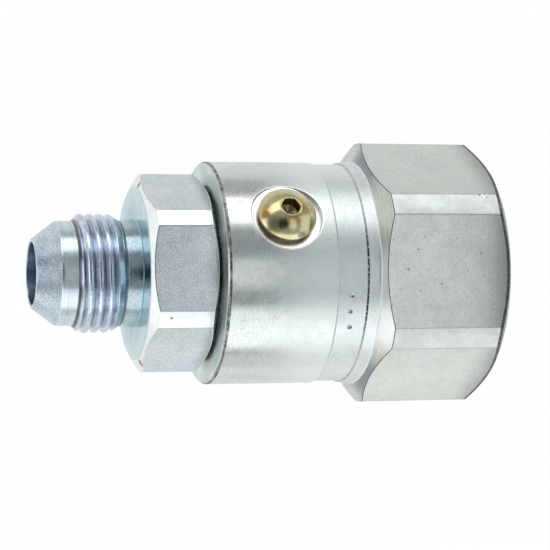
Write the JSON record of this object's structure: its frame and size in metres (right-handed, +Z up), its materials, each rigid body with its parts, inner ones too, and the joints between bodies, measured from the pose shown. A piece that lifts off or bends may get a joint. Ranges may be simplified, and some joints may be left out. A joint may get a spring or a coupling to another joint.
{
  "type": "hydraulic swivel joint",
  "caption": "In-line ball-bearing hydraulic swivel: male 37 degree flare end turning in a hex body with a female port, closed by a button-head ball plug.",
  "frame": {"origin": "centre of the female port's mouth, on the swivel axis at the end face of the body", "axes": "+X runs along the swivel axis from the male flare end to the female end, +Z is up as the part lies on a flat of its body hex"},
  "size_m": [0.0731, 0.042, 0.038],
  "materials": {
    "zinc_body": "bright zinc plate over fine turning, slightly warm grey",
    "zinc_stem": "bright zinc plate with a faint blue cast",
    "yellow_zinc": "yellow chromate over zinc, satin",
    "washer": "dark, dull",
    "dust_rubber": "black rubber",
    "seal_rubber": "black nitrile rubber",
    "backup_plastic": "white slippery plastic",
    "ball_steel": "polished bearing steel"
  },
  "bodies": {
    "body": {"barrel": "zinc_body", "ball_plug": "yellow_zinc", "plug_washer": "washer", "dust_seal": "dust_rubber"},
    "stem": {"stem": "zinc_stem", "pressure_seal": "seal_rubber", "backup_ring_front": "backup_plastic", "backup_ring_rear": "backup_plastic"},
    "ball_row": {"ball_01": "ball_steel", "ball_02": "ball_steel", "ball_03": "ball_steel", "ball_04": "ball_steel", "ball_05": "ball_steel", "ball_06": "ball_steel", "ball_07": "ball_steel", "ball_08": "ball_steel", "ball_09": "ball_steel", "ball_10": "ball_steel", "ball_11": "ball_steel", "ball_12": "ball_steel", "ball_13": "ball_steel", "ball_14": "ball_steel", "ball_15": "ball_steel", "ball_16": "ball_steel", "ball_17": "ball_steel", "ball_18": "ball_steel"}
  },
  "joints": [
    {"name": "swivel", "type": "hinge", "parent": "body", "child": "stem", "pos_m": [-0.0357, 0, 0], "axis": [1, 0, 0], "continuous": true},
    {"name": "ball_orbit", "type": "hinge", "parent": "body", "child": "ball_row", "pos_m": [-0.0357, 0, 0], "axis": [1, 0, 0], "continuous": true}
  ],
  "couplings": [
    {"joint": "ball_orbit", "follows": "swivel", "ratio": 0.4173}
  ]
}
